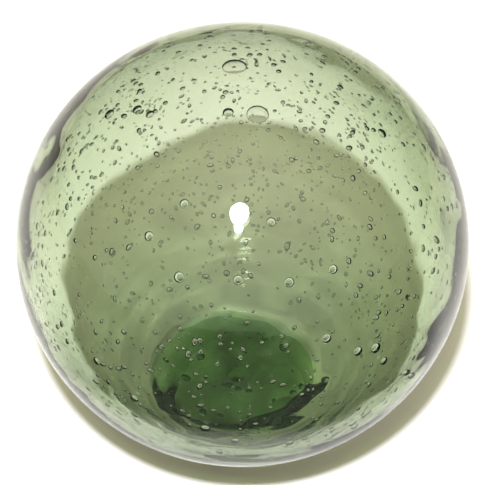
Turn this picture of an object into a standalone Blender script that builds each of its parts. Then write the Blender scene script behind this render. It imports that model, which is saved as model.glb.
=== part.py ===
"""A hand-blown glass fishing float: a sealed ball of pale green glass and the button of glass
that closes its blowing hole.

Units are metres, +Z is up, and the origin is on the standing plane, under the ball's centre.
The float stands on the flat underside of its seal button.
"""

import math

import bmesh
import bpy
from mathutils import Vector

# The ball
BALL_WIDTH = 0.100
POLAR_SHARE = 0.960  # height over width, before the seal end is pressed flat
PRESSED_DEPTH = 0.0024  # how far the soft ball gave way under the seal
PRESSED_WIDTH = 0.0150  # horizontal reach of that flattening
SIDE_SWELLS = (  # (lobes round the ball, share of its radius, bearing of a lobe in degrees)
    (2, 0.0026, 78.0),
    (3, 0.0022, 32.0),
    (5, 0.0009, 210.0),
)
CROWN_LEAN = 0.0030  # the ball is fuller on one shoulder, as a share of its radius
CROWN_LEAN_BEARING = 75.0

# The seal button
SEAL_WIDTH = 0.0410
SEAL_DROP = 0.0028  # how far it stands proud of the ball at its middle
SEAL_FLAT_SHARE = 0.707  # flat of its underside, as a share of its radius
SEAL_FLAT_WAVES = (  # as SIDE_SWELLS
    (1, 0.070, 250.0),
    (2, 0.089, 70.0),
    (3, 0.104, 343.0),
    (4, 0.046, 325.0),
    (5, 0.018, 357.0),
)
LANDING_SHARE = 1.03  # where its sloping side runs out on the ball, as a share of its radius
EDGE_SHARE = 0.55  # how far up that slope its free edge stands
FUSED_GAP = 0.0003  # the glass is fused here; touching solids keep this clearance
RIM_WAVES = (  # as SIDE_SWELLS
    (1, 0.100, 236.0),
    (2, 0.032, 5.0),
    (3, 0.018, 83.0),
    (5, 0.008, 250.0),
)
RIM_BULGE = 0.0020  # glass squeezed out past the edge
RIM_BULGE_BEARING = -10.0
RIM_LIP = 0.0028  # the fold left where the gather was sheared off
RIM_LIP_BEARING = 217.0
RIM_LOCAL_WIDTH = 12.0  # degrees of the rim that the bulge and the fold each take

# Facets
BALL_SEGMENTS = 72
BALL_RINGS = 36
SEAL_SEGMENTS = 72
SEAL_EDGE_STEPS = 6

SEA_GREEN = (0.50, 0.60, 0.38, 1.0)
BOTTLE_GREEN = (0.16, 0.30, 0.12, 1.0)
GLASS_ROUGHNESS = 0.04
GLASS_IOR = 1.51

BALL_RADIUS = BALL_WIDTH / 2
POLAR_RADIUS = BALL_RADIUS * POLAR_SHARE
BALL_CENTRE_Z = POLAR_RADIUS - PRESSED_DEPTH + FUSED_GAP + SEAL_DROP


def clear_scene():
    """Remove every object of the scene."""
    for obj in list(bpy.data.objects):
        bpy.data.objects.remove(obj)


def glass(name, colour):
    """A smooth, see-through glass of one colour."""
    material = bpy.data.materials.new(name)
    material.use_nodes = True
    shader = material.node_tree.nodes["Principled BSDF"]
    shader.inputs["Base Color"].default_value = colour
    shader.inputs["Roughness"].default_value = GLASS_ROUGHNESS
    shader.inputs["Metallic"].default_value = 0.0
    shader.inputs["IOR"].default_value = GLASS_IOR
    shader.inputs["Transmission Weight"].default_value = 1.0
    return material


def waves(lobes, bearing):
    """The sum of a few even waves round the vertical axis, at a bearing in radians."""
    return sum(
        share * math.cos(count * (bearing - math.radians(at))) for count, share, at in lobes
    )


def local_swell(bearing, at, width):
    """1 at the bearing `at`, falling smoothly to 0 about `width` degrees away on either side."""
    off = (math.degrees(bearing) - at + 180.0) % 360.0 - 180.0
    return math.exp(-((off / width) ** 2))


def ball_radius(direction):
    """Distance from the ball's centre to its outer surface along a unit vector."""
    flat = math.hypot(direction.x, direction.y)
    bearing = math.atan2(direction.y, direction.x)
    oval = 1.0 / math.sqrt((flat / BALL_RADIUS) ** 2 + (direction.z / POLAR_RADIUS) ** 2)
    lean = CROWN_LEAN * math.cos(bearing - math.radians(CROWN_LEAN_BEARING))
    swell = flat**2 * waves(SIDE_SWELLS, bearing) + flat * direction.z * lean
    pressed = 0.0
    if direction.z < 0.0:
        pressed = PRESSED_DEPTH * math.exp(-((flat * BALL_RADIUS / PRESSED_WIDTH) ** 2))
    return oval * (1.0 + swell) - pressed


def underside_of_ball(reach, bearing):
    """Height of the ball's underside at a horizontal distance and bearing from its axis."""
    tilt = 0.0
    radius = POLAR_RADIUS
    for _ in range(12):
        tilt = math.asin(min(reach / radius, 1.0))
        out = math.sin(tilt)
        direction = Vector((out * math.cos(bearing), out * math.sin(bearing), -math.cos(tilt)))
        radius = ball_radius(direction)
    return BALL_CENTRE_Z - radius * math.cos(tilt)


def seal_radius(bearing):
    """Horizontal radius of the button's rim at a bearing in radians."""
    even = SEAL_WIDTH / 2 * (1.0 + waves(RIM_WAVES, bearing))
    bulge = RIM_BULGE * local_swell(bearing, RIM_BULGE_BEARING, RIM_LOCAL_WIDTH)
    lip = RIM_LIP * local_swell(bearing, RIM_LIP_BEARING, RIM_LOCAL_WIDTH)
    return even + bulge + lip


def seal_profile():
    """Half section of the button from the middle of its top, down its sloping side, to the
    middle of its underside. Each point is (share of the radius, level). Levels go from 0 on the
    flat to EDGE_SHARE up the slope, and on to 1 against the ball.
    """
    rises = [EDGE_SHARE * (1.0 - step / SEAL_EDGE_STEPS) for step in range(SEAL_EDGE_STEPS + 1)]
    slope = [(SEAL_FLAT_SHARE + (LANDING_SHARE - SEAL_FLAT_SHARE) * rise, rise) for rise in rises]
    edge = slope[0][0]
    top = [(share * edge, 1.0) for share in (0.0, 0.25, 0.50, 0.75, 0.97)]
    free_edge = [(edge * 0.995, (1.0 + EDGE_SHARE) / 2)]
    underside = [(share * SEAL_FLAT_SHARE, 0.0) for share in (0.5, 0.0)]
    return top + free_edge + slope + underside


def uneven_share(share, bearing):
    """Shift a share of the radius so that the flat is wider at some bearings than at others."""
    flat = SEAL_FLAT_SHARE * (1.0 + waves(SEAL_FLAT_WAVES, bearing))
    if share <= SEAL_FLAT_SHARE:
        return share / SEAL_FLAT_SHARE * flat
    rise = (share - SEAL_FLAT_SHARE) / (LANDING_SHARE - SEAL_FLAT_SHARE)
    return flat + (LANDING_SHARE - flat) * rise


def seal_height(level, reach, bearing):
    """Height of a point of the button, from its level in the half section."""
    landing = underside_of_ball(LANDING_SHARE * seal_radius(bearing), bearing)
    if level <= EDGE_SHARE:
        return level * landing
    inwards = (level - EDGE_SHARE) / (1.0 - EDGE_SHARE)
    ceiling = underside_of_ball(reach, bearing) - FUSED_GAP
    return EDGE_SHARE * landing * (1.0 - inwards) + ceiling * inwards


def add_object(name, bm, material):
    """Turn a closed bmesh into a smooth-shaded object."""
    bmesh.ops.recalc_face_normals(bm, faces=bm.faces)
    mesh = bpy.data.meshes.new(name)
    bm.to_mesh(mesh)
    bm.free()
    mesh.materials.append(material)
    mesh.shade_smooth()
    mesh.set_sharp_from_angle(angle=math.radians(40.0))
    obj = bpy.data.objects.new(name, mesh)
    bpy.context.scene.collection.objects.link(obj)
    return obj


def add_blown_ball(material):
    """The ball: a round bubble, a little flat and uneven, pressed in at the seal."""
    bm = bmesh.new()
    bmesh.ops.create_uvsphere(bm, u_segments=BALL_SEGMENTS, v_segments=BALL_RINGS, radius=1.0)
    for vertex in bm.verts:
        direction = vertex.co.normalized()
        vertex.co = direction * ball_radius(direction)
    ball = add_object("blown_ball", bm, material)
    ball.location.z = BALL_CENTRE_Z
    return ball


def add_seal_button(material):
    """The button: a gather of glass pressed between the ball and a flat iron."""
    bm = bmesh.new()
    points = [bm.verts.new((share, 0.0, height)) for share, height in seal_profile()]
    edges = [bm.edges.new(pair) for pair in zip(points, points[1:])]
    bmesh.ops.spin(
        bm,
        geom=points + edges,
        cent=(0.0, 0.0, 0.0),
        axis=(0.0, 0.0, 1.0),
        angle=math.tau,
        steps=SEAL_SEGMENTS,
    )
    bmesh.ops.remove_doubles(bm, verts=bm.verts, dist=1e-5)
    for vertex in bm.verts:
        bearing = math.atan2(vertex.co.y, vertex.co.x)
        share = uneven_share(math.hypot(vertex.co.x, vertex.co.y), bearing)
        reach = share * seal_radius(bearing)
        height = seal_height(vertex.co.z, reach, bearing)
        vertex.co = Vector((reach * math.cos(bearing), reach * math.sin(bearing), height))
    return add_object("seal_button", bm, material)


def main():
    clear_scene()
    add_blown_ball(glass("sea_green_glass", SEA_GREEN))
    add_seal_button(glass("bottle_green_glass", BOTTLE_GREEN))


main()
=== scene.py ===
"""The looks of a hand-blown glass net float.

One fused body of green glass, with the bubbles that are sealed in its wall, on a pale floor.
Units are metres, +Z is up, and the origin is on the standing plane, under the ball's centre.
"""

import logging
import math
from dataclasses import dataclass, field, fields
from enum import Enum
from typing import Any, ClassVar

import bmesh
import bpy
import numpy as np
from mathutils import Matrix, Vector


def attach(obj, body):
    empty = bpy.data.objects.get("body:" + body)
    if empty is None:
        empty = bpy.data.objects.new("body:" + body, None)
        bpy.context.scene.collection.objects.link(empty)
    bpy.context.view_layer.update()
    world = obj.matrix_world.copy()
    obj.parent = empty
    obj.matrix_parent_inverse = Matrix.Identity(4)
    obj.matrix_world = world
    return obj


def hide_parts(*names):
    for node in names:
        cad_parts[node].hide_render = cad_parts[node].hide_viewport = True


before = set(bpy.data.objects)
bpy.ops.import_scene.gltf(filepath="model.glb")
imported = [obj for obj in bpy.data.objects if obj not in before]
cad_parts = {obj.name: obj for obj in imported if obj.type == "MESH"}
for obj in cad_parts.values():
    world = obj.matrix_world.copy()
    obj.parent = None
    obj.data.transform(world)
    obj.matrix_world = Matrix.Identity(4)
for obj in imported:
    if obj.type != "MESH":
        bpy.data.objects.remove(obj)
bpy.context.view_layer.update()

LOG = logging.getLogger("float")
PHOTO_WIDTH = 500
PHOTO_HEIGHT = 485

SOLVE_STEPS = 14  # enough for the underside's angle to settle
NEARLY_ONE = 0.999
NOISE_MEAN = 0.5
NOISE_GAIN = 2.6  # brings the usual spread of a soft noise to about 1
GEOMETRY = "NodeSocketGeometry"
WHITE = (1.0, 1.0, 1.0)

Colour = tuple[float, float, float]
Waves = tuple[tuple[int, float, float], ...]


class Facing(Enum):
    """Which way the faces of a closed wall point."""

    AWAY_FROM_CENTRE = 1
    TO_THE_HOLLOW = -1


def even_waves(lobes: Waves, bearing: np.ndarray) -> np.ndarray:
    """Sum a few even waves round the vertical axis.

    Args:
        lobes: (count round the ball, height as a share, bearing of one crest in degrees).
        bearing: Bearings in radians.

    Returns:
        The summed share at each bearing.
    """
    total = np.zeros_like(bearing)
    for count, share, at in lobes:
        total += share * np.cos(count * (bearing - math.radians(at)))
    return total


def local_swell(bearing: np.ndarray, at: float, width: float) -> np.ndarray:
    """Rise to 1 at one bearing and fall smoothly to 0 on either side.

    Args:
        bearing: Bearings in radians.
        at: Bearing of the crest, in degrees.
        width: Degrees from the crest to where it has mostly gone.

    Returns:
        The share at each bearing.
    """
    off = (np.degrees(bearing) - at + 180.0) % 360.0 - 180.0
    return np.exp(-((off / width) ** 2))


def eased(value: np.ndarray, start: float, end: float) -> np.ndarray:
    """Go smoothly from 0 at start to 1 at end."""
    share = np.clip((value - start) / (end - start), 0.0, 1.0)
    return share * share * (3.0 - 2.0 * share)


@dataclass(frozen=True)
class BallForm:
    """The outside of the blown bubble."""

    width: float = 0.100
    polar_share: float = 0.960
    pressed_depth: float = 0.0024
    pressed_width: float = 0.0150
    centre_height: float = 0.0487
    side_swells: Waves = ((2, 0.0026, 78.0), (3, 0.0022, 32.0), (5, 0.0009, 210.0))
    crown_lean: float = 0.0030
    crown_lean_bearing: float = 75.0

    @property
    def radius(self) -> float:
        """Radius at the widest."""
        return self.width / 2

    @property
    def polar_radius(self) -> float:
        """Distance from the centre to the crown."""
        return self.radius * self.polar_share

    def reach_along(self, polar: np.ndarray, bearing: np.ndarray) -> np.ndarray:
        """Distance from the centre to the outer surface.

        Args:
            polar: Angle from straight up, in radians.
            bearing: Bearing round the vertical axis, in radians.

        Returns:
            Distances in metres.
        """
        flat = np.sin(polar)
        rise = np.cos(polar)
        oval = 1.0 / np.sqrt((flat / self.radius) ** 2 + (rise / self.polar_radius) ** 2)
        lean = self.crown_lean * np.cos(bearing - math.radians(self.crown_lean_bearing))
        swell = flat**2 * even_waves(self.side_swells, bearing) + flat * rise * lean
        pressed = self.pressed_depth * np.exp(-((flat * self.radius / self.pressed_width) ** 2))
        return oval * (1.0 + swell) - np.where(rise < 0.0, pressed, 0.0)

    def polar_at(self, reach: np.ndarray, bearing: np.ndarray) -> np.ndarray:
        """Polar angle on the lower half where the surface is this far from the axis.

        Args:
            reach: Distances from the vertical axis.
            bearing: Bearings in radians.

        Returns:
            Angles from straight up, in radians.
        """
        tilt = np.zeros_like(reach)
        for _ in range(SOLVE_STEPS):
            along = self.reach_along(math.pi - tilt, bearing)
            tilt = np.arcsin(np.clip(reach / along, 0.0, NEARLY_ONE))
        return math.pi - tilt

    def underside(self, reach: np.ndarray, bearing: np.ndarray) -> np.ndarray:
        """Height above the standing plane of the ball's underside at a distance from its axis."""
        polar = self.polar_at(reach, bearing)
        return self.centre_height + self.reach_along(polar, bearing) * np.cos(polar)


@dataclass(frozen=True)
class SealForm:
    """The button of glass pressed over the blowing hole."""

    width: float = 0.0410
    flat_share: float = 0.707
    flat_waves: Waves = (
        (1, 0.070, 250.0),
        (2, 0.089, 70.0),
        (3, 0.104, 343.0),
        (4, 0.046, 325.0),
        (5, 0.018, 357.0),
    )
    rim_waves: Waves = ((1, 0.100, 236.0), (2, 0.032, 5.0), (3, 0.018, 83.0), (5, 0.008, 250.0))
    rim_bulge: float = 0.0020
    rim_bulge_bearing: float = -10.0
    rim_lip: float = 0.0028
    rim_lip_bearing: float = 217.0
    rim_local_width: float = 12.0
    landing_share: float = 1.03
    edge_steps: int = 20
    flat_steps: int = 10

    def radius(self, bearing: np.ndarray) -> np.ndarray:
        """Distance of the rim from the axis.

        Args:
            bearing: Bearings in radians.

        Returns:
            Distances in metres.
        """
        even = self.width / 2 * (1.0 + even_waves(self.rim_waves, bearing))
        bulge = self.rim_bulge * local_swell(bearing, self.rim_bulge_bearing, self.rim_local_width)
        lip = self.rim_lip * local_swell(bearing, self.rim_lip_bearing, self.rim_local_width)
        return even + bulge + lip

    def half_sections(self, bearing: np.ndarray) -> list[tuple[np.ndarray, float]]:
        """Half sections from where the rim leaves the ball to the middle of the underside.

        Args:
            bearing: Bearings in radians.

        Returns:
            For each ring, the share of the radius at each bearing and the share of the height
            of its landing on the ball.
        """
        flat = self.flat_share * (1.0 + even_waves(self.flat_waves, bearing))
        rings = []
        for step in range(self.edge_steps):
            rise = 1.0 - step / self.edge_steps
            rings.append((flat + (self.landing_share - flat) * rise, rise))
        for step in range(self.flat_steps):
            rings.append((flat * (1.0 - step / self.flat_steps), 0.0))
        return rings


@dataclass(frozen=True)
class Lump:
    """A soft swelling, or a dent if negative, on the pool of glass over the seal."""

    bearing: float
    tilt: float
    width: float
    height: float


@dataclass(frozen=True)
class WallForm:
    """How thick the glass is, from the crown to the pool of glass over the seal.

    Angles are in degrees, tilts are measured from straight down.
    """

    crown: float = 0.0025
    waist: float = 0.0030
    round_the_seal: float = 0.0035
    waist_start: float = 15.0
    waist_end: float = 62.0
    pool_depth: float = 0.0026
    pool_start: float = 28.0
    pool_full: float = 14.0
    pool_edge_waves: Waves = ((1, 2.6, 182.0), (2, 1.4, 30.0), (3, 1.2, 120.0))
    side_waves: Waves = ((1, 0.10, 34.0), (2, 0.19, 358.0), (3, 0.06, 17.0))
    ridge_height: float = 0.00045
    ridge_tilt: float = 39.0
    ridge_reach: float = 12.0
    ridge_spacing: float = 8.5
    ridge_wander: Waves = ((2, 2.5, 60.0), (3, 1.5, 10.0))
    lumps: tuple[Lump, ...] = (
        Lump(250.0, 3.5, 4.5, -0.0022),
        Lump(5.0, 9.0, 5.5, 0.0009),
        Lump(176.0, 17.0, 5.0, 0.0011),
        Lump(95.0, 12.0, 6.5, 0.0009),
        Lump(285.0, 13.0, 4.0, -0.0010),
        Lump(330.0, 17.0, 4.5, 0.0012),
        Lump(215.0, 15.0, 4.0, -0.0007),
        Lump(45.0, 18.0, 4.5, -0.0009),
    )

    def thickness(self, polar: np.ndarray, bearing: np.ndarray) -> np.ndarray:
        """Wall thickness along the radius.

        Args:
            polar: Angles from straight up, in radians.
            bearing: Bearings in radians.

        Returns:
            Thicknesses in metres.
        """
        tilt = np.degrees(math.pi - polar)
        upper = self.crown + (self.waist - self.crown) * eased(180.0 - tilt, 0.0, 90.0)
        lower = (self.round_the_seal - self.waist) * eased(
            90.0 - tilt, self.waist_start, self.waist_end
        )
        uneven = 1.0 + np.sin(polar) * even_waves(self.side_waves, bearing)
        edge = self.pool_start + even_waves(self.pool_edge_waves, bearing)
        pool = self.pool_depth * eased(-tilt, -edge, -self.pool_full)
        chance = self.ridges(tilt, bearing) + self.lumpiness(tilt, bearing)
        return (upper + lower) * uneven + pool + chance

    def ridges(self, tilt: np.ndarray, bearing: np.ndarray) -> np.ndarray:
        """Height of the faint rings that the pressing left round the seal.

        Args:
            tilt: Degrees from straight down.
            bearing: Bearings in radians.

        Returns:
            Heights in metres.
        """
        wander = even_waves(self.ridge_wander, bearing)
        phase = (tilt - self.ridge_tilt - wander) / self.ridge_spacing * math.tau
        fade = np.exp(-(((tilt - self.ridge_tilt) / self.ridge_reach) ** 2))
        return self.ridge_height * np.cos(phase) * fade

    def lumpiness(self, tilt: np.ndarray, bearing: np.ndarray) -> np.ndarray:
        """Height of the pool's swellings and dents.

        Args:
            tilt: Degrees from straight down.
            bearing: Bearings in radians.

        Returns:
            Heights in metres.
        """
        east, north = tilt * np.cos(bearing), tilt * np.sin(bearing)
        total = np.zeros_like(tilt)
        for lump in self.lumps:
            at = math.radians(lump.bearing)
            off = (east - lump.tilt * math.cos(at)) ** 2 + (north - lump.tilt * math.sin(at)) ** 2
            total += lump.height * np.exp(-off / lump.width**2)
        return total


def spherical(
    along: np.ndarray, polar: np.ndarray, bearing: np.ndarray, centre: float
) -> np.ndarray:
    """Points round the ball's centre.

    Args:
        along: Distances from the centre.
        polar: Angles from straight up, in radians.
        bearing: Bearings in radians.
        centre: Height of the centre.

    Returns:
        Rows of x, y and z.
    """
    flat = along * np.sin(polar)
    rise = centre + along * np.cos(polar)
    return np.stack([flat * np.cos(bearing), flat * np.sin(bearing), rise], axis=-1)


def ring_mesh(
    name: str, rings: np.ndarray, top: Vector, bottom: Vector, facing: Facing
) -> Any:
    """Close a stack of rings into a mesh with a point at each end.

    Args:
        name: Name of the mesh.
        rings: Points as (ring, segment, xyz), from the top ring to the bottom one.
        top: The upper end point.
        bottom: The lower end point.
        facing: Which way its faces point.

    Returns:
        The new mesh.
    """
    count, segments, _ = rings.shape
    points = [tuple(top), *map(tuple, rings.reshape(-1, 3)), tuple(bottom)]
    faces = []
    for j in range(segments):
        k = (j + 1) % segments
        faces.append((0, 1 + j, 1 + k))
        for i in range(count - 1):
            upper, lower = 1 + i * segments, 1 + (i + 1) * segments
            faces.append((upper + j, lower + j, lower + k, upper + k))
        last = 1 + (count - 1) * segments
        faces.append((last + j, len(points) - 1, last + k))
    if facing is Facing.TO_THE_HOLLOW:
        faces = [face[::-1] for face in faces]
    mesh = bpy.data.meshes.new(name)
    mesh.from_pydata(points, [], faces)
    mesh.shade_smooth()
    return mesh


def set_values(mesh: Any, name: str, values: Any) -> None:
    """Give each point of a mesh a number under a name."""
    mesh.attributes.new(name, "FLOAT", "POINT").data.foreach_set("value", values)


def add_object(name: str, data: Any) -> Any:
    """Put a mesh, a lamp or a camera in the scene.

    Args:
        name: Name of the object.
        data: What it shows.

    Returns:
        The object.
    """
    obj = bpy.data.objects.new(name, data)
    bpy.context.scene.collection.objects.link(obj)
    return obj


class Tree:
    """A short way to write a node tree."""

    def __init__(self, tree: Any) -> None:
        """Wrap a node tree."""
        self.tree = tree

    def add(self, kind: str, inputs: dict[Any, Any] | None = None, **settings: Any) -> Any:
        """Add a node.

        Args:
            kind: Blender's name for the node.
            inputs: Values or sockets for its inputs, by name or place.
            **settings: Properties of the node.

        Returns:
            The node.
        """
        node = self.tree.nodes.new(kind)
        for key, value in settings.items():
            setattr(node, key, value)
        for key, value in (inputs or {}).items():
            if isinstance(value, bpy.types.NodeSocket):
                self.tree.links.new(value, node.inputs[key])
            else:
                node.inputs[key].default_value = value
        return node

    def maths(self, operation: str, *values: Any) -> Any:
        """Add a Math node and return its result."""
        return self.add("ShaderNodeMath", dict(enumerate(values)), operation=operation).outputs[0]

    def vector(self, operation: str, *values: Any) -> Any:
        """Add a Vector Math node and return its vector."""
        inputs = dict(enumerate(values))
        return self.add("ShaderNodeVectorMath", inputs, operation=operation).outputs[0]

    def scaled(self, vector: Any, scale: Any) -> Any:
        """Multiply a vector by a number."""
        inputs = {0: vector, "Scale": scale}
        return self.add("ShaderNodeVectorMath", inputs, operation="SCALE").outputs[0]

    def length(self, vector: Any) -> Any:
        """Add a node that measures a vector and return its result."""
        return self.add("ShaderNodeVectorMath", {0: vector}, operation="LENGTH").outputs["Value"]

    def flattened(self, vector: Any) -> Any:
        """Drop the height from a vector."""
        return self.vector("MULTIPLY", vector, (1.0, 1.0, 0.0))

    def mirrored_rays(self, path: Any) -> Any:
        """Tell the rays of a mirror image by the outputs of a Light Path node."""
        return self.maths("MULTIPLY", path["Is Reflection Ray"], path["Is Glossy Ray"])

    def axis(self, vector: Any, name: str) -> Any:
        """Take one coordinate, X, Y or Z, out of a vector."""
        return self.add("ShaderNodeSeparateXYZ", {0: vector}).outputs[name]

    def object_place(self) -> Any:
        """Where the shaded point is, in the object's own coordinates."""
        return self.add("ShaderNodeTexCoord").outputs["Object"]

    def noise(self, place: Any, size: Any, **inputs: Any) -> Any:
        """Add a noise with patches of about one size and return its value."""
        inputs.update(Vector=place, Scale=self.maths("DIVIDE", 1.0, size))
        return self.add("ShaderNodeTexNoise", inputs).outputs[0]

    def mixed(self, share: Any, first: Any, second: Any) -> Any:
        """Mix two colours, each a socket or three numbers, and return the result."""
        inputs = {0: share, 6: with_alpha(first), 7: with_alpha(second)}
        return self.add("ShaderNodeMix", inputs, data_type="RGBA").outputs[2]

    def ramp(self, value: Any, start: float, end: float, low: float, high: float) -> Any:
        """Map a range of values smoothly to another and return the result."""
        inputs = {0: value, 1: start, 2: end, 3: low, 4: high}
        return self.add("ShaderNodeMapRange", inputs, interpolation_type="SMOOTHSTEP").outputs[0]

    def put_out(self, geometry: Any, material: Any) -> None:
        """End a geometry group with plain geometry in a material.

        Args:
            geometry: The geometry's socket.
            material: The material's socket.
        """
        plain = self.add("GeometryNodeRealizeInstances", {0: geometry}).outputs[0]
        dressed = self.add("GeometryNodeSetMaterial", {0: plain, "Material": material})
        self.add("NodeGroupOutput", {"Geometry": dressed.outputs[0]})


def with_alpha(colour: Any) -> Any:
    """Add an alpha of 1 to three numbers, and leave a socket as it is."""
    return (*colour, 1.0) if isinstance(colour, tuple) else colour


def group_inputs(form: Any) -> dict[str, Any]:
    """Name the fields of a dataclass as inputs of a node group, as in "Ring Size" for ring_size.

    Args:
        form: The dataclass.

    Returns:
        Their values by those names, with an alpha of 1 for colours.
    """
    inputs = {}
    for item in fields(form):
        value = getattr(form, item.name)
        colour = item.name.endswith("colour")
        inputs[item.name.replace("_", " ").title()] = with_alpha(value) if colour else value
    return inputs


def socket_kinds(values: dict[str, Any]) -> dict[str, str]:
    """Find the type of node socket that each value needs.

    Args:
        values: Numbers, vectors, colours with alpha, or materials, by name.

    Returns:
        The socket types by the same names.
    """
    kinds = {}
    for label, value in values.items():
        if isinstance(value, bpy.types.Material):
            kinds[label] = "NodeSocketMaterial"
        elif isinstance(value, (tuple, Vector)):
            kinds[label] = "NodeSocketVector" if len(value) == 3 else "NodeSocketColor"
        else:
            kinds[label] = "NodeSocketInt" if isinstance(value, int) else "NodeSocketFloat"
    return kinds


def geometry_group(name: str, kinds: dict[str, str]) -> Tree:
    """Start a Geometry Nodes group that takes and gives a geometry.

    Args:
        name: Its name.
        kinds: Socket types of its other inputs.

    Returns:
        The wrapped group, with its sockets made.
    """
    inputs = {"Geometry": GEOMETRY, **kinds}
    return node_group(name, "GeometryNodeTree", inputs, {"Geometry": GEOMETRY})


def node_group(name: str, kind: str, inputs: dict[str, str], outputs: dict[str, str]) -> Tree:
    """Start a node group.

    Args:
        name: Its name.
        kind: "GeometryNodeTree" or "ShaderNodeTree".
        inputs: Socket type of each named input.
        outputs: Socket type of each named output.

    Returns:
        The wrapped group, with its sockets made.
    """
    tree = bpy.data.node_groups.new(name, kind)
    for direction, sockets in (("INPUT", inputs), ("OUTPUT", outputs)):
        for label, socket in sockets.items():
            tree.interface.new_socket(label, in_out=direction, socket_type=socket)
    return Tree(tree)


def run_group(name: str, mesh: Any, group: Any, values: dict[str, Any]) -> Any:
    """Run a Geometry Nodes group on a mesh.

    Args:
        name: Name of the result.
        mesh: The mesh it starts from.
        group: The node group.
        values: Values of its named inputs.

    Returns:
        The result as a plain mesh.
    """
    source = add_object(name, mesh)
    modifier = source.modifiers.new(group.name, "NODES")
    modifier.node_group = group
    for item in group.interface.items_tree:
        if item.in_out == "INPUT" and item.name in values:
            modifier[item.identifier] = values[item.name]
    depsgraph = bpy.context.evaluated_depsgraph_get()
    result = bpy.data.meshes.new_from_object(source.evaluated_get(depsgraph), depsgraph=depsgraph)
    result.name = name
    bpy.data.objects.remove(source)
    return result


@dataclass(frozen=True)
class HandBlownWaves:
    """Slow unevenness of hot glass, and the finer rings that turning it on the pipe leaves."""

    slow_height: float = 0.00030
    slow_size: float = 0.019
    ring_height: float = 0.00005
    ring_size: float = 0.0075
    ring_flatness: float = 2.6
    seed: float = 5.1

    def group(self, values: dict[str, Any]) -> Any:
        """Build the node group that moves each point along its radius.

        Args:
            values: Its inputs.

        Returns:
            The node group.
        """
        tree = geometry_group("hand_blown_waves", socket_kinds(values))
        given = tree.add("NodeGroupInput").outputs
        position = tree.add("GeometryNodeInputPosition").outputs[0]
        place = tree.vector("SUBTRACT", position, given["Centre"])
        squeeze = tree.add("ShaderNodeCombineXYZ", {0: 1.0, 1: 1.0, 2: given["Ring Flatness"]})
        flattened = tree.vector("MULTIPLY", place, squeeze.outputs[0])
        slow = self.swell(tree, place, given, "Slow")
        ring = self.swell(tree, flattened, given, "Ring")
        give = tree.add("GeometryNodeInputNamedAttribute", {"Name": "give"}, data_type="FLOAT")
        move = tree.maths("MULTIPLY", tree.maths("ADD", slow, ring), give.outputs[0])
        offset = tree.scaled(tree.vector("NORMALIZE", place), move)
        inputs = {"Geometry": given["Geometry"], "Offset": offset}
        moved = tree.add("GeometryNodeSetPosition", inputs).outputs[0]
        tree.put_out(moved, given["Material"])
        return tree.tree

    @staticmethod
    def swell(tree: Tree, place: Any, given: Any, label: str) -> Any:
        """Add a noise that rises and falls by a height.

        Args:
            tree: The node tree.
            place: Where each point is.
            given: The group's inputs.
            label: First word of the inputs that say the height and the size.

        Returns:
            The noise's value.
        """
        scale = tree.maths("DIVIDE", 1.0, given[f"{label} Size"])
        inputs = {"Vector": place, "W": given["Seed"], "Scale": scale, "Detail": 1.0}
        noise = tree.add("ShaderNodeTexNoise", inputs, noise_dimensions="4D")
        centred = tree.maths("SUBTRACT", noise.outputs[0], NOISE_MEAN)
        height = tree.maths("MULTIPLY", given[f"{label} Height"], NOISE_GAIN)
        return tree.maths("MULTIPLY", centred, height)

    def apply(self, mesh: Any, centre: Vector, material: Any) -> Any:
        """Run the waves over a mesh that has the point attribute "give".

        Args:
            mesh: The even form.
            centre: The ball's centre.
            material: The glass.

        Returns:
            The uneven form as a plain mesh.
        """
        values = {**group_inputs(self), "Centre": centre, "Material": material}
        return run_group("blown_walls", mesh, self.group(values), values)


@dataclass(frozen=True)
class Bubble:
    """One bubble put at its own place in the wall. Angles are in degrees."""

    polar: float
    bearing: float
    width: float
    flatness: float = 0.35
    depth_share: float = 0.5
    stretch: float = 1.0


class BubbleShapes:
    """The node group, shared by all bubbles, that puts a closed hollow on each point."""

    SOCKETS = {
        "Points": GEOMETRY,
        "Outwards": "NodeSocketVector",
        "Width": "NodeSocketFloat",
        "Flatness": "NodeSocketFloat",
        "Stretch": "NodeSocketFloat",
        "Turn": "NodeSocketFloat",
        "Segments": "NodeSocketInt",
        "Rings": "NodeSocketInt",
        "Material": "NodeSocketMaterial",
    }

    def __init__(self) -> None:
        """Build the group, which turns a round hollow outwards, squeezes it and copies it."""
        outputs = {"Geometry": GEOMETRY}
        tree = node_group("bubble_shapes", "GeometryNodeTree", self.SOCKETS, outputs)
        given = tree.add("NodeGroupInput").outputs
        round_form = {"Segments": given["Segments"], "Rings": given["Rings"], "Radius": 0.5}
        ball = tree.add("GeometryNodeMeshUVSphere", round_form).outputs[0]
        hollow = tree.add("GeometryNodeFlipFaces", {0: ball}).outputs[0]
        smoothing = {"Geometry": hollow, "Shade Smooth": True}
        smooth = tree.add("GeometryNodeSetShadeSmooth", smoothing).outputs[0]
        outwards = {"Vector": given["Outwards"]}
        upright = tree.add("FunctionNodeAlignRotationToVector", outwards, axis="Z").outputs[0]
        turn = tree.add("ShaderNodeCombineXYZ", {2: given["Turn"]}).outputs[0]
        by = tree.add("FunctionNodeEulerToRotation", {0: turn}).outputs[0]
        turned = tree.add("FunctionNodeRotateRotation", {0: upright, 1: by}, rotation_space="LOCAL")
        squeeze = {0: given["Stretch"], 1: 1.0, 2: given["Flatness"]}
        scale = tree.add("ShaderNodeCombineXYZ", squeeze).outputs[0]
        copies = {
            "Points": given["Points"],
            "Instance": smooth,
            "Rotation": turned.outputs[0],
            "Scale": tree.scaled(scale, given["Width"]),
        }
        placed = tree.add("GeometryNodeInstanceOnPoints", copies).outputs[0]
        tree.put_out(placed, given["Material"])
        self.tree = tree.tree


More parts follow.
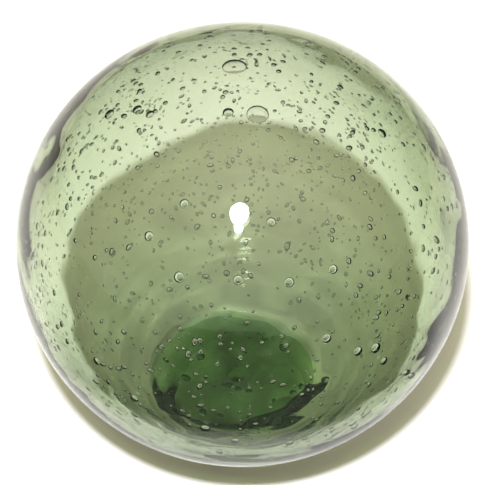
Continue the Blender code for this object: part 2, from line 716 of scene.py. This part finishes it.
@dataclass(frozen=True)
class SeedCloud:
    """The small bubbles that poor melting leaves all through the wall."""

    per_square_metre: float = 145000.0
    spacing: float = 0.0010
    smallest: float = 0.00040
    largest: float = 0.0012
    flattest: float = 0.14
    roundest: float = 0.34
    longest: float = 1.6
    depth_spread: float = 0.00045
    small_bias: float = 1.7
    patchiness: float = 0.55
    patch_size: float = 0.030
    crowded_from: float = 0.40
    crowded_full: float = 0.60
    clear_below: float = 0.0100
    clear_fade: float = 1.6
    left_below: float = 0.12
    segments: int = 7
    rings: int = 4
    seed: int = 11

    def group(self, shapes: Any, values: dict[str, Any]) -> Any:
        """Build the node group that scatters seeds over the middle of the wall.

        Args:
            shapes: The bubble shapes' node group.
            values: Its inputs.

        Returns:
            The node group.
        """
        tree = geometry_group("seed_cloud", socket_kinds(values))
        given = tree.add("NodeGroupInput").outputs
        inputs = {
            "Mesh": given["Geometry"],
            "Distance Min": given["Spacing"],
            "Density Max": given["Per Square Metre"],
            "Density Factor": self.crowding(tree, given),
            "Seed": given["Seed"],
        }
        spread = tree.add(
            "GeometryNodeDistributePointsOnFaces", inputs, distribute_method="POISSON"
        ).outputs
        deep = self.random(tree, -1.0, 1.0, given["Seed"], 1)
        offset = tree.scaled(spread["Normal"], tree.maths("MULTIPLY", deep, given["Depth Spread"]))
        inputs = {"Geometry": spread["Points"], "Offset": offset}
        moved = tree.add("GeometryNodeSetPosition", inputs).outputs[0]
        even = self.random(tree, 0.0, 1.0, given["Seed"], 2)
        size = tree.maths("POWER", even, given["Small Bias"])
        reach = tree.maths("SUBTRACT", given["Largest"], given["Smallest"])
        flatness = self.random(tree, given["Flattest"], given["Roundest"], given["Seed"], 3)
        inputs = {
            "Points": moved,
            "Outwards": spread["Normal"],
            "Width": tree.maths("ADD", given["Smallest"], tree.maths("MULTIPLY", size, reach)),
            "Flatness": flatness,
            "Stretch": self.random(tree, 1.0, given["Longest"], given["Seed"], 4),
            "Turn": self.random(tree, 0.0, math.pi, given["Seed"], 5),
            **{label: given[label] for label in ("Segments", "Rings", "Material")},
        }
        seeds = tree.add("GeometryNodeGroup", inputs, node_tree=shapes).outputs[0]
        tree.put_out(seeds, given["Material"])
        return tree.tree

    def crowding(self, tree: Tree, given: Any) -> Any:
        """Add the share of seeds that each spot keeps: patchy, and few close to the floor.

        Args:
            tree: The node tree.
            given: The group's inputs.

        Returns:
            The share.
        """
        place = tree.add("GeometryNodeInputPosition").outputs[0]
        patches = tree.noise(place, given["Patch Size"], Detail=1.0)
        crowded = tree.ramp(patches, given["Crowded From"], given["Crowded Full"], 0.0, 1.0)
        bare = tree.maths("MULTIPLY", tree.maths("SUBTRACT", 1.0, crowded), given["Patchiness"])
        fade = tree.maths("MULTIPLY", given["Clear Below"], given["Clear Fade"])
        level = tree.axis(place, "Z")
        inputs = {0: level, 1: given["Clear Below"], 2: fade, 3: given["Left Below"]}
        above = tree.add("ShaderNodeMapRange", inputs).outputs[0]
        return tree.maths("MULTIPLY", tree.maths("SUBTRACT", 1.0, bare), above)

    @staticmethod
    def random(tree: Tree, low: Any, high: Any, seed: Any, salt: int) -> Any:
        """Add a random number for each point.

        Args:
            tree: The node tree.
            low: Its lowest value.
            high: Its highest value.
            seed: The cloud's seed.
            salt: A number that tells one draw from the next.

        Returns:
            The number.
        """
        salted = tree.maths("ADD", seed, float(salt))
        inputs = {2: low, 3: high, 8: salted}
        return tree.add("FunctionNodeRandomValue", inputs, data_type="FLOAT").outputs[1]

    def scatter(self, mesh: Any, shapes: Any, material: Any) -> Any:
        """Scatter the seeds.

        Args:
            mesh: The middle of the wall.
            shapes: The bubble shapes' node group.
            material: The glass.

        Returns:
            The seeds as a plain mesh.
        """
        values = {**group_inputs(self), "Material": material}
        return run_group("seeds", mesh, self.group(shapes, values), values)


@dataclass(frozen=True)
class PlacedBubbles:
    """The larger bubbles that can be told apart, each at its own place."""

    bubbles: tuple[Bubble, ...] = (
        Bubble(18.6, 280.9, 0.0042, 0.10),
        Bubble(3.0, 230.0, 0.0048, 0.07),
        Bubble(34.5, 194.6, 0.0023),
        Bubble(18.0, 259.4, 0.0021),
        Bubble(26.4, 212.8, 0.0018),
        Bubble(72.6, 289.6, 0.0019),
        Bubble(78.4, 297.1, 0.0020),
        Bubble(79.6, 301.9, 0.0023),
        Bubble(84.5, 304.1, 0.0018),
        Bubble(85.1, 234.7, 0.0018),
        Bubble(91.7, 244.7, 0.0018),
        Bubble(96.6, 261.5, 0.0020),
        Bubble(101.0, 268.3, 0.0017),
        Bubble(104.0, 281.3, 0.0017),
        Bubble(105.7, 298.6, 0.0017),
        Bubble(57.8, 253.6, 0.0021),
        Bubble(57.1, 268.9, 0.0019),
        Bubble(58.3, 281.9, 0.0019),
        Bubble(57.6, 294.1, 0.0018),
        Bubble(41.9, 250.5, 0.0018),
        Bubble(50.9, 242.5, 0.0019),
        Bubble(44.9, 278.9, 0.0018),
        Bubble(96.2, 314.4, 0.0016, 0.5, 0.3, 2.2),
        Bubble(55.2, 14.8, 0.0015, 0.4, 0.5, 1.4),
        Bubble(37.9, 338.2, 0.0020),
        Bubble(28.0, 203.7, 0.0020),
        Bubble(65.5, 329.6, 0.0014, 0.4, 0.4, 1.8),
        Bubble(165.3, 159.0, 0.0019, 0.8, 0.35),
        Bubble(155.2, 172.0, 0.0021, 0.8, 0.35),
        Bubble(161.6, 196.0, 0.0026, 0.7, 0.35),
        Bubble(164.2, 31.0, 0.0023, 0.8, 0.35),
        Bubble(159.7, 339.0, 0.0021, 0.8, 0.35),
        Bubble(160.8, 327.0, 0.0021, 0.8, 0.35),
        Bubble(171.1, 236.0, 0.0019, 0.8, 0.35),
        Bubble(170.7, 259.0, 0.0018, 0.8, 0.35),
        Bubble(169.5, 281.0, 0.0021, 0.8, 0.35),
        Bubble(156.7, 237.0, 0.0020, 0.8, 0.35),
        Bubble(158.3, 251.0, 0.0020, 0.8, 0.35),
        Bubble(152.0, 346.0, 0.0020, 0.6, 0.4),
        Bubble(165.7, 63.0, 0.0020, 0.8, 0.35),
    )
    segments: int = 16
    rings: int = 10

    MEASURES: ClassVar[tuple[str, ...]] = ("width", "flatness", "stretch")

    def group(self, shapes: Any, values: dict[str, Any]) -> Any:
        """Build the node group that puts a bubble on each point of a mesh.

        Args:
            shapes: The bubble shapes' node group.
            values: Its inputs.

        Returns:
            The node group.
        """
        tree = geometry_group("placed_bubbles", socket_kinds(values))
        given = tree.add("NodeGroupInput").outputs
        inputs = {
            "Points": tree.add("GeometryNodeMeshToPoints", {0: given["Geometry"]}).outputs[0],
            "Outwards": self.attribute(tree, "outwards", "FLOAT_VECTOR"),
            **{name.title(): self.attribute(tree, name, "FLOAT") for name in self.MEASURES},
            **{label: given[label] for label in values},
        }
        bubbles = tree.add("GeometryNodeGroup", inputs, node_tree=shapes).outputs[0]
        tree.put_out(bubbles, given["Material"])
        return tree.tree

    @staticmethod
    def attribute(tree: Tree, name: str, kind: str) -> Any:
        """Read a named attribute of the points."""
        inputs = {"Name": name}
        return tree.add("GeometryNodeInputNamedAttribute", inputs, data_type=kind).outputs[0]

    def place(self, ball: BallForm, wall: WallForm, shapes: Any, material: Any) -> Any:
        """Put each bubble at its depth in the wall.

        Args:
            ball: The outside of the ball.
            wall: The wall's thickness.
            shapes: The bubble shapes' node group.
            material: The glass.

        Returns:
            The bubbles as a plain mesh.
        """
        polar = np.radians([bubble.polar for bubble in self.bubbles])
        bearing = np.radians([bubble.bearing for bubble in self.bubbles])
        shares = np.array([bubble.depth_share for bubble in self.bubbles])
        along = ball.reach_along(polar, bearing) - shares * wall.thickness(polar, bearing)
        points = spherical(along, polar, bearing, ball.centre_height)
        outwards = points - np.array([0.0, 0.0, ball.centre_height])
        mesh = bpy.data.meshes.new("bubble_places")
        mesh.from_pydata([tuple(point) for point in points], [], [])
        arrows = mesh.attributes.new("outwards", "FLOAT_VECTOR", "POINT")
        arrows.data.foreach_set("vector", outwards.ravel())
        for name in self.MEASURES:
            set_values(mesh, name, [getattr(bubble, name) for bubble in self.bubbles])
        values = {"Segments": self.segments, "Rings": self.rings, "Material": material}
        return run_group("placed_bubbles", mesh, self.group(shapes, values), values)


@dataclass(frozen=True)
class SealTint:
    """Tint of the seal's greener, unevenly mixed glass, greener low on the ball, with painted light
    and shade.
    """

    centre: Colour = (-0.0022, -0.0030, 0.0)
    heart_reach: float = 0.0068
    band_start: float = 0.0130
    band_end: float = 0.0185
    left_rim_start: float = 0.0150
    left_rim_end: float = 0.0190
    rim: float = 0.0212
    far_reach: float = 0.0420
    foot: float = 0.0006
    shoulder: float = 0.0080
    height: float = 0.0190
    # painted shade: the seeds' glass is darkened so the small bubbles look dark
    seed_shade: float = 0.26
    patch_size: float = 0.0080
    patch_from: float = 0.45
    patch_full: float = 0.68
    wander: float = 0.008
    sideways: float = 0.6
    far_side: float = -0.006
    near_side: float = 0.010
    # painted light: from left_from to left_full the seal's left side takes the paler patch colour,
    # as if lit
    left_from: float = -0.0040
    left_full: float = -0.0120
    far_left_from: float = -0.0090
    far_left_full: float = -0.0150
    heart_colour: Colour = (0.07, 0.13, 0.07)
    body_colour: Colour = (0.44, 0.62, 0.50)
    patch_colour: Colour = (0.66, 0.92, 0.76)
    # painted light: a paler tint that lifts the dark ring on the seal's side towards the viewer
    band_colour: Colour = (0.80, 0.95, 0.75)
    left_rim_colour: Colour = (0.50, 0.56, 0.50)
    # painted shade: a darker tint on the seal's sloping sides, from foot to shoulder
    slope_colour: Colour = (0.28, 0.52, 0.24)
    ball_colour: Colour = (0.88, 1.0, 0.90)

    def group(self) -> Any:
        """Build the node group.

        Returns:
            The node group, which puts out only a colour.
        """
        kinds = socket_kinds(group_inputs(self))
        tree = node_group("seal_tint", "ShaderNodeTree", kinds, {"Color": "NodeSocketColor"})
        given = tree.add("NodeGroupInput").outputs
        place = tree.object_place()
        level = tree.axis(place, "Z")
        flat = tree.flattened(tree.vector("SUBTRACT", place, given["Centre"]))
        length = tree.length(flat)
        banded = self.banded(tree, given, flat, length, level)
        low = tree.maths("SUBTRACT", 1.0, self.between(tree, level, 0.0, given["Far Reach"]))
        ball = tree.mixed(low, WHITE, given["Ball Colour"])
        outside = tree.maths("GREATER_THAN", length, given["Rim"])
        above = tree.maths("GREATER_THAN", level, given["Height"])
        glass = tree.mixed(tree.maths("MAXIMUM", outside, above), banded, ball)
        # painted shade: darken the glass of the seeds
        seed = tree.add("ShaderNodeAttribute", {}, attribute_name="seed").outputs["Fac"]
        shade = tree.maths("MULTIPLY", seed, given["Seed Shade"])
        clearness = tree.maths("SUBTRACT", 1.0, shade)
        tree.add("NodeGroupOutput", {"Color": tree.scaled(glass, clearness)})
        return tree.tree

    def banded(self, tree: Tree, given: Any, flat: Any, length: Any, level: Any) -> Any:
        """Add the colours of the seal itself, with a paler left side and near arc as painted light
        and darker sloping sides as painted shade.

        Args:
            tree: The group's node tree.
            given: The group's inputs.
            flat: Where the point is, seen from above, from the seal's heart.
            length: Its distance from there.
            level: Its height above the standing plane.

        Returns:
            The colour.
        """
        patches = tree.noise(flat, given["Patch Size"], Detail=1.5)
        off = tree.maths("SUBTRACT", patches, NOISE_MEAN)
        reach = tree.maths("ADD", length, tree.maths("MULTIPLY", off, given["Wander"]))
        x, y = tree.axis(flat, "X"), tree.axis(flat, "Y")
        toward = tree.maths("SUBTRACT", tree.maths("MULTIPLY", x, given["Sideways"]), y)
        near = self.between(tree, toward, given["Far Side"], given["Near Side"])
        # painted light: the seal's left side is tinted paler, as if lit
        left = tree.ramp(x, given["Left Full"], given["Left From"], 1.0, 0.0)
        light = self.between(tree, patches, given["Patch From"], given["Patch Full"])
        pale = tree.maths("MAXIMUM", light, left)
        body = tree.mixed(pale, given["Body Colour"], given["Patch Colour"])
        away = self.between(tree, reach, 0.0, given["Heart Reach"])
        heart = tree.maths("SUBTRACT", 1.0, away)
        centre = tree.mixed(heart, body, given["Heart Colour"])
        # painted light: paler tint on the arc towards the viewer
        outer = self.between(tree, reach, given["Band Start"], given["Band End"])
        band = tree.maths("MULTIPLY", outer, near)
        faces = tree.mixed(band, centre, given["Band Colour"])
        far_left = tree.ramp(x, given["Far Left Full"], given["Far Left From"], 1.0, 0.0)
        edge = self.between(tree, length, given["Left Rim Start"], given["Left Rim End"])
        left_rim = tree.maths("MULTIPLY", edge, far_left)
        rimmed = tree.mixed(left_rim, faces, given["Left Rim Colour"])
        # painted shade: darker tint on the seal's sloping sides
        off_floor = tree.maths("GREATER_THAN", level, given["Foot"])
        low = tree.maths("LESS_THAN", level, given["Shoulder"])
        slope = tree.maths("MULTIPLY", off_floor, low)
        return tree.mixed(slope, rimmed, given["Slope Colour"])

    @staticmethod
    def between(tree: Tree, value: Any, start: Any, end: Any) -> Any:
        """Go smoothly from 0 to 1 between two values."""
        return tree.ramp(value, start, end, 0.0, 1.0)

    def place(self, tree: Tree) -> Any:
        """Put the group in a material and return its colour."""
        node = tree.add("ShaderNodeGroup", group_inputs(self), node_tree=self.group())
        return node.outputs["Color"]


@dataclass(frozen=True)
class GlassFinish:
    """Soda glass, tinted by its own depth. Lamps shine through it without their caustics."""

    name: str = "sea_green_glass"
    ior: float = 1.51
    clear_colour: Colour = (0.390, 0.552, 0.205)
    density: float = 150.0
    passing: Colour = (0.787, 0.764, 0.760)
    passing_at_rim: Colour = (0.31, 0.30, 0.17)
    rim_sharpness: float = 3.0
    streak_size: float = 0.012
    streak_squeeze: tuple[float, float, float] = (1.0, 1.0, 3.0)
    streak_bend: float = 0.6
    streak_contrast: float = 1.2
    gathered_reach: float = 0.0212
    gathered_height: float = 0.0190
    gathered_light: float = 0.40
    seal: SealTint = field(default_factory=SealTint)

    def streaks(self, tree: Tree) -> Any:
        """Add the light and dark streaks that uneven glass throws.

        Args:
            tree: The material's node tree.

        Returns:
            The share of the light that passes, 1 on average.
        """
        squeezed = tree.vector("MULTIPLY", tree.object_place(), self.streak_squeeze)
        noise = tree.noise(squeezed, self.streak_size, Detail=2.0, Distortion=self.streak_bend)
        off = tree.maths("SUBTRACT", noise, NOISE_MEAN)
        return tree.maths("ADD", tree.maths("MULTIPLY", off, self.streak_contrast), 1.0)

    def gathered(self, tree: Tree) -> Any:
        """Add the light that the thick seal gathers under the float.

        Args:
            tree: The material's node tree.

        Returns:
            The share of the light that passes, 1 away from the seal.
        """
        place = tree.object_place()
        reach = tree.length(tree.flattened(place))
        within = tree.maths("LESS_THAN", reach, self.gathered_reach)
        below = tree.maths("LESS_THAN", tree.axis(place, "Z"), self.gathered_height)
        more = tree.maths("MULTIPLY", tree.maths("MULTIPLY", within, below), self.gathered_light)
        return tree.maths("ADD", more, 1.0)

    def material(self) -> Any:
        """Build the material.

        Returns:
            The material.
        """
        material = bpy.data.materials.new(self.name)
        material.use_nodes = True
        material.node_tree.nodes.clear()
        tree = Tree(material.node_tree)
        looks = {
            # the seal's tint, which also carries painted light and shade
            "Base Color": self.seal.place(tree),
            "Roughness": 0.0,
            "Metallic": 0.0,
            "IOR": self.ior,
            "Transmission Weight": 1.0,
        }
        shader = tree.add("ShaderNodeBsdfPrincipled", looks).outputs[0]
        facing = tree.add("ShaderNodeLayerWeight", {"Blend": 0.5}).outputs["Facing"]
        rim = tree.maths("POWER", facing, self.rim_sharpness)
        shade = tree.mixed(rim, self.passing, self.passing_at_rim)
        share = tree.maths("MULTIPLY", self.streaks(tree), self.gathered(tree))
        light = {"Color": tree.scaled(shade, share)}
        passing = tree.add("ShaderNodeBsdfTransparent", light).outputs[0]
        shadow = tree.add("ShaderNodeLightPath").outputs["Is Shadow Ray"]
        surface = tree.add("ShaderNodeMixShader", {0: shadow, 1: shader, 2: passing}).outputs[0]
        depth = {"Color": with_alpha(self.clear_colour), "Density": self.density}
        tint = tree.add("ShaderNodeVolumeAbsorption", depth).outputs[0]
        tree.add("ShaderNodeOutputMaterial", {"Surface": surface, "Volume": tint})
        return material


@dataclass
class FusedFloat:
    """The blown ball and its seal, one body of glass with a hollow and bubbles inside."""

    ball: BallForm = field(default_factory=BallForm)
    seal: SealForm = field(default_factory=SealForm)
    wall: WallForm = field(default_factory=WallForm)
    waves: HandBlownWaves = field(default_factory=HandBlownWaves)
    seeds: SeedCloud = field(default_factory=SeedCloud)
    bubbles: PlacedBubbles = field(default_factory=PlacedBubbles)
    finish: GlassFinish = field(default_factory=GlassFinish)
    segments: int = 160
    side_rings: int = 84
    inner_rings: int = 116
    outer_give: float = 0.18
    give_from: float = 0.004
    give_full: float = 0.016

    @property
    def centre(self) -> Vector:
        """The ball's centre."""
        return Vector((0.0, 0.0, self.ball.centre_height))

    def bearings(self) -> np.ndarray:
        """Bearings of the segments, in radians."""
        return np.linspace(0.0, math.tau, self.segments, endpoint=False)

    def outer_rings(self) -> np.ndarray:
        """Lay the rings of the outer surface.

        Returns:
            Points as (ring, segment, xyz), from the crown to the middle of the seal's underside.
        """
        bearing = self.bearings()
        section = self.seal.half_sections(bearing)
        rim = self.seal.radius(bearing)
        last_polar = self.ball.polar_at(rim * section[0][0], bearing)
        landing = self.ball.underside(rim * section[0][0], bearing)
        rings = []
        for i in range(1, self.side_rings):
            polar = last_polar * i / self.side_rings
            along = self.ball.reach_along(polar, bearing)
            rings.append(spherical(along, polar, bearing, self.ball.centre_height))
        for share, height in section:
            x, y = rim * share * np.cos(bearing), rim * share * np.sin(bearing)
            rings.append(np.stack([x, y, height * landing], axis=-1))
        return np.array(rings)

    def inner_points(self, thickness_share: float) -> np.ndarray:
        """Lay rings below the outer surface of the bare ball.

        Args:
            thickness_share: How deep, as a share of the wall's thickness.

        Returns:
            Points as (ring, segment, xyz), from the top down.
        """
        bearing = self.bearings()
        rings = []
        for i in range(1, self.inner_rings):
            polar = np.full_like(bearing, math.pi * i / self.inner_rings)
            depth = self.wall.thickness(polar, bearing) * thickness_share
            along = self.ball.reach_along(polar, bearing) - depth
            rings.append(spherical(along, polar, bearing, self.ball.centre_height))
        return np.array(rings)

    def pole(self, polar: float, thickness_share: float) -> Vector:
        """Find a point on the vertical axis.

        Args:
            polar: 0 for the crown and pi for the bottom.
            thickness_share: How deep, as a share of the wall's thickness.

        Returns:
            The point.
        """
        angle, bearing = np.array([polar]), np.array([0.0])
        depth = self.wall.thickness(angle, bearing) * thickness_share
        along = self.ball.reach_along(angle, bearing) - depth
        return self.centre + Vector((0.0, 0.0, float(along[0]) * math.cos(polar)))

    def outside(self) -> Any:
        """Build the outer surface, which stays even where it stands and round the seal.

        Returns:
            The mesh.
        """
        foot = Vector((0.0, 0.0, 0.0))
        rings, facing = self.outer_rings(), Facing.AWAY_FROM_CENTRE
        mesh = ring_mesh("outside", rings, self.pole(0.0, 0.0), foot, facing)
        heights = np.array([vertex.co.z for vertex in mesh.vertices])
        set_values(mesh, "give", self.outer_give * eased(heights, self.give_from, self.give_full))
        return mesh

    def inner_surface(self, name: str, thickness_share: float, facing: Facing) -> Any:
        """Build a closed surface below the outer one.

        Args:
            name: Name of the mesh.
            thickness_share: How deep, as a share of the wall's thickness.
            facing: Which way its faces point.

        Returns:
            The mesh.
        """
        rings = self.inner_points(thickness_share)
        top, bottom = self.pole(0.0, thickness_share), self.pole(math.pi, thickness_share)
        mesh = ring_mesh(name, rings, top, bottom, facing)
        set_values(mesh, "give", np.ones(len(mesh.vertices)))
        return mesh

    def build(self) -> Any:
        """Build the glass body.

        Returns:
            The object.
        """
        material = self.finish.material()
        shapes = BubbleShapes().tree
        inside = self.inner_surface("inside", 1.0, Facing.TO_THE_HOLLOW)
        middle = self.inner_surface("middle", 0.5, Facing.AWAY_FROM_CENTRE)
        parts = [
            self.waves.apply(joined("walls", [self.outside(), inside]), self.centre, material),
            self.seeds.scatter(middle, shapes, material),
            self.bubbles.place(self.ball, self.wall, shapes, material),
        ]
        for part in parts:
            LOG.info("%s: %d faces", part.name, len(part.polygons))
        mesh = joined("glass_float", parts)
        first = len(parts[0].vertices)
        # mark the seeds, whose glass the seal's tint darkens as painted shade
        seeds = np.zeros(len(mesh.vertices))
        seeds[first : first + len(parts[1].vertices)] = 1.0
        set_values(mesh, "seed", seeds)
        mesh.shade_smooth()
        mesh.materials.clear()
        mesh.materials.append(material)
        obj = add_object("glass_float", mesh)
        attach(obj, "root")
        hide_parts("blown_ball", "seal_button")
        return obj


def joined(name: str, meshes: list[Any]) -> Any:
    """Put several meshes in one.

    Args:
        name: Name of the result.
        meshes: The meshes.

    Returns:
        The new mesh.
    """
    bm = bmesh.new()
    for mesh in meshes:
        bm.from_mesh(mesh)
    result = bpy.data.meshes.new(name)
    bm.to_mesh(result)
    bm.free()
    return result


@dataclass(frozen=True)
class Lamp:
    """A soft lamp above the camera.

    Lift is in degrees above the camera as seen from the ball, distance is from the ball's centre
    and power is in watts at one metre. Without `lights` it is only mirrored in the glass.
    """

    name: str
    lift: float
    aside: float
    distance: float
    size: tuple[float, float]
    power: float
    lights: bool


@dataclass
class Studio:
    """A pale floor, a soft lamp above the viewer and a pale room, darker overhead."""

    ball: BallForm
    view_elevation: float = 41.0
    view_distance: float = 5.2
    outline_px: float = 227.6
    centre_px: tuple[float, float] = (242.5, 242.6)
    sensor_width: float = 36.0
    nearest_seen: float = 0.01
    lamps: tuple[Lamp, ...] = (
        Lamp("lamp", 11.0, -0.011, 0.308, (0.018, 0.018), 15.5, True),
        Lamp("glare", 17.5, -0.010, 0.315, (0.044, 0.050), 10.0, False),
    )
    floor_colour: Colour = (0.86, 0.86, 0.86)
    mirrored_floor_colour: Colour = (0.03, 0.03, 0.03)
    sheet_edge: float = 0.055
    sheet_end: float = 0.070
    foreground_edge: float = 0.028
    foreground_end: float = 0.040
    foreground_share: float = 0.45
    side_share: float = 0.12
    front_from: float = -0.005
    front_full: float = 0.040
    wall_crossings: float = 2.5
    floor_radius: float = 4.0
    floor_segments: int = 96
    floor_drop: float = 0.0002
    floor_roughness: float = 0.9
    floor_gloss: float = 0.1
    fill_colour: Colour = (0.645, 0.585, 0.435)
    backdrop_colour: Colour = (0.90, 0.90, 0.90)
    mirrored_room_colour: Colour = (0.05, 0.05, 0.055)
    overhead_colour: Colour = (0.66, 0.66, 0.62)
    horizon_colour: Colour = (0.82, 0.82, 0.84)
    dark_from: float = 0.12
    dark_full: float = 0.55

    @property
    def centre(self) -> Vector:
        """The ball's centre."""
        return Vector((0.0, 0.0, self.ball.centre_height))

    def towards(self, elevation: float) -> Vector:
        """Unit vector from the ball towards the viewer's side at an elevation in degrees."""
        angle = math.radians(elevation)
        return Vector((0.0, -math.cos(angle), math.sin(angle)))

    def add_camera(self) -> None:
        """Set the camera where the photo was taken from, at a height and a width of view that
        put the ball's outline where it is in the photo.
        """
        distance = self.view_distance * self.ball.radius
        focal_px = self.outline_px * math.sqrt(self.view_distance**2 - 1.0)
        data = bpy.data.cameras.new("camera")
        data.sensor_width = self.sensor_width
        data.lens = focal_px / PHOTO_WIDTH * data.sensor_width
        data.clip_start = self.nearest_seen
        data.shift_x = (PHOTO_WIDTH / 2 - self.centre_px[0]) / PHOTO_WIDTH
        data.shift_y = (self.centre_px[1] - PHOTO_HEIGHT / 2) / PHOTO_WIDTH
        camera = add_object("camera", data)
        camera.location = self.centre + self.towards(self.view_elevation) * distance
        camera.rotation_euler = (math.radians(90.0 - self.view_elevation), 0.0, 0.0)
        bpy.context.scene.camera = camera

    def add_floor(self) -> None:
        """Lay the pale floor. Seen only through the wall or mirrored, it is bright only on a small
        sheet round the float and dark beyond it, most of all towards the viewer, because that is
        what the outer ring of the glass shows.
        """
        mesh = bpy.data.meshes.new("floor")
        bm = bmesh.new()
        disc = {"segments": self.floor_segments, "radius": self.floor_radius}
        bmesh.ops.create_circle(bm, cap_ends=True, **disc)
        bm.to_mesh(mesh)
        bm.free()
        material = bpy.data.materials.new("pale_floor")
        material.use_nodes = True
        tree = Tree(material.node_tree)
        shader = material.node_tree.nodes["Principled BSDF"]
        path = tree.add("ShaderNodeLightPath").outputs
        shallow = tree.maths("LESS_THAN", path["Transmission Depth"], self.wall_crossings)
        wall_only = tree.maths("MULTIPLY", path["Is Transmission Ray"], shallow)
        seen = tree.maths("MAXIMUM", tree.mirrored_rays(path), wall_only)
        mirrored = tree.maths("MULTIPLY", seen, self.beyond_the_sheet(tree))
        colour = tree.mixed(mirrored, self.floor_colour, self.mirrored_floor_colour)
        material.node_tree.links.new(colour, shader.inputs["Base Color"])
        shader.inputs["Roughness"].default_value = self.floor_roughness
        shader.inputs["Specular IOR Level"].default_value = self.floor_gloss
        mesh.materials.append(material)
        floor = add_object("floor", mesh)
        floor.location.z = -self.floor_drop

    def beyond_the_sheet(self, tree: Tree) -> Any:
        """Add the mask of the floor outside the bright sheet.

        Args:
            tree: The floor material's node tree.

        Returns:
            How dark each spot is, most of all towards the viewer.
        """
        place = tree.object_place()
        reach = tree.length(place)
        toward = tree.maths("MULTIPLY", tree.axis(place, "Y"), -1.0)
        front = tree.ramp(toward, self.front_from, self.front_full, self.side_share, 1.0)
        edge, end = self.foreground_edge, self.foreground_end
        near = tree.ramp(reach, edge, end, 0.0, self.foreground_share)
        far = tree.ramp(reach, self.sheet_edge, self.sheet_end, 0.0, 1.0)
        return tree.maths("MULTIPLY", tree.maths("MAXIMUM", near, far), front)

    def add_lamp(self, lamp: Lamp) -> None:
        """Hang one lamp.

        Args:
            lamp: The lamp.
        """
        data = bpy.data.lights.new(lamp.name, "AREA")
        data.shape = "ELLIPSE"
        data.size, data.size_y = lamp.size
        data.energy = lamp.power
        data.use_nodes = True
        tree = Tree(data.node_tree)
        even = tree.add("ShaderNodeLightFalloff", {"Strength": 1.0}).outputs["Constant"]
        data.node_tree.links.new(even, data.node_tree.nodes["Emission"].inputs["Strength"])
        obj = add_object(lamp.name, data)
        obj.location = self.centre + self.towards(self.view_elevation + lamp.lift) * lamp.distance
        obj.location.x += lamp.aside
        obj.rotation_euler = (obj.location - self.centre).to_track_quat("Z", "Y").to_euler()
        obj.visible_diffuse = lamp.lights

    def add_room(self) -> None:
        """Surround it with a pale room, which rays through the glass find darker overhead and
        mirror images find dark.
        """
        world = bpy.data.worlds.new("room")
        bpy.context.scene.world = world
        world.use_nodes = True
        world.node_tree.nodes.clear()
        tree = Tree(world.node_tree)
        height = tree.axis(tree.add("ShaderNodeTexCoord").outputs["Generated"], "Z")
        up = tree.ramp(height, self.dark_from, self.dark_full, 0.0, 1.0)
        through = tree.mixed(up, self.horizon_colour, self.overhead_colour)
        path = tree.add("ShaderNodeLightPath").outputs
        lit = tree.mixed(path["Is Transmission Ray"], self.fill_colour, through)
        unseen = tree.mixed(tree.mirrored_rays(path), lit, self.mirrored_room_colour)
        colour = tree.mixed(path["Is Camera Ray"], unseen, self.backdrop_colour)
        back = tree.add("ShaderNodeBackground", {"Color": colour, "Strength": 1.0})
        tree.add("ShaderNodeOutputWorld", {"Surface": back.outputs[0]})

    def set_up(self) -> None:
        """Build the whole studio and set how far light is followed through the glass."""
        self.add_camera()
        self.add_floor()
        for lamp in self.lamps:
            self.add_lamp(lamp)
        self.add_room()
        scene = bpy.context.scene
        scene.view_settings.view_transform = "Standard"
        settings = {
            "use_denoising": True,
            "max_bounces": 32,
            "transmission_bounces": 32,
            "glossy_bounces": 16,
            "transparent_max_bounces": 64,
            "caustics_reflective": False,
            "caustics_refractive": False,
        }
        for name, value in settings.items():
            setattr(scene.cycles, name, value)


def main() -> None:
    """Build the float and its studio."""
    logging.basicConfig(level=logging.INFO, format="%(name)s: %(message)s")
    body = FusedFloat()
    glass = body.build()
    LOG.info("%s: %d faces", glass.name, len(glass.data.polygons))
    Studio(body.ball).set_up()


if __name__ == "__main__":
    main()
